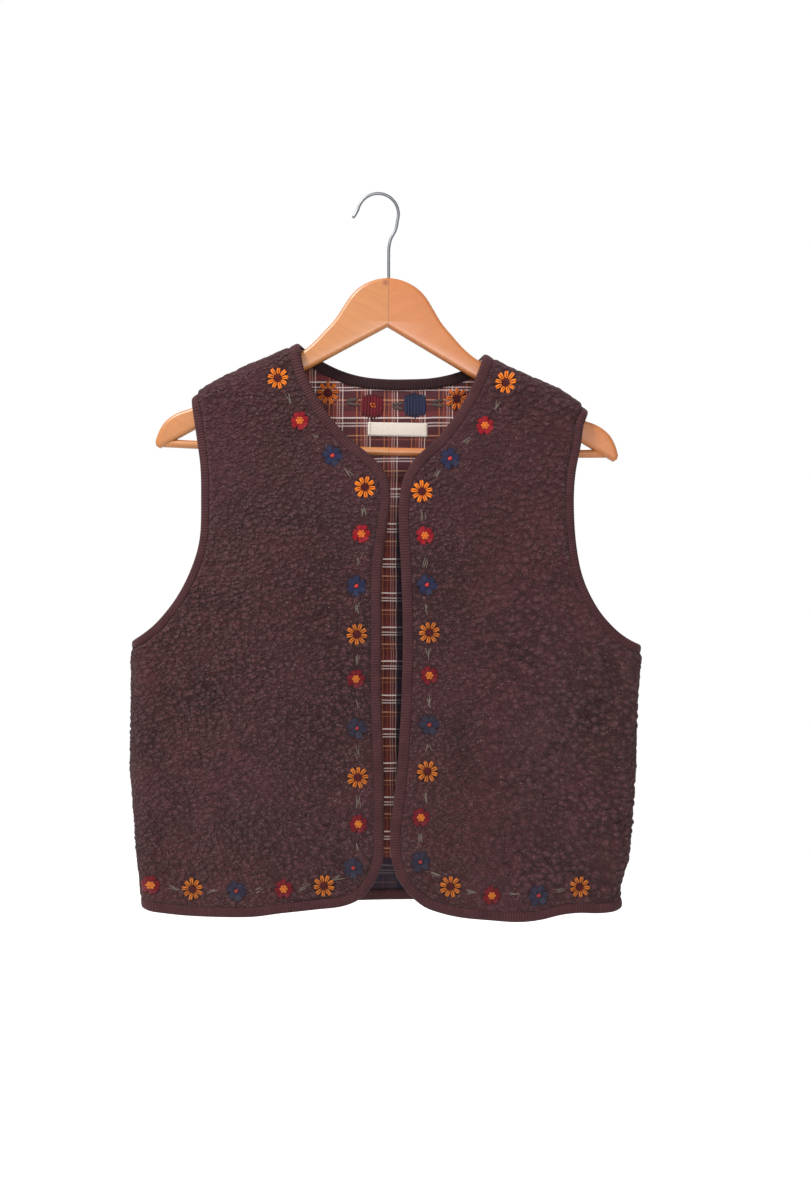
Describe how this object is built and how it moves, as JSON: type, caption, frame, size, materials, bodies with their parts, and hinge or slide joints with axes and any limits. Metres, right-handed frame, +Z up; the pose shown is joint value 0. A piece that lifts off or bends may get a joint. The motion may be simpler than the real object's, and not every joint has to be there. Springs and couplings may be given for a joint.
{
  "type": "fleece vest on a wooden clothes hanger",
  "caption": "Open-fronted sleeveless pile fleece vest with bound edges and a plaid lining, hung on a flat wooden clothes hanger with a wire hook.",
  "frame": {"origin": "inner top of the wire hook, on the line where a rail or peg carries it", "axes": "+X to the wearer's left, along the hanger; +Y out through the back of the vest; +Z up, along the hook's shank"},
  "size_m": [0.4921, 0.0609, 0.6948],
  "materials": {
    "fleece": "dark aubergine brown boucle pile fleece",
    "lining": "woven plaid, maroon and brown ground with white and orange lines",
    "tape": "ribbed dark brown binding tape",
    "label": "woven cream label, blank",
    "wood": "clear varnished beech",
    "steel": "bright plated steel wire"
  },
  "bodies": {
    "root": {"front_right": "fleece", "front_left": "fleece", "back": "fleece", "back_lining": "lining", "binding_front_right": "tape", "binding_front_left": "tape", "binding_armhole_right": "tape", "binding_armhole_left": "tape", "binding_neck_back": "tape", "binding_hem_back": "tape", "label": "label", "hanger_arm_right": "wood", "hanger_arm_left": "wood", "hanger_bar": "wood", "hanger_hook": "steel"}
  },
  "joints": []
}
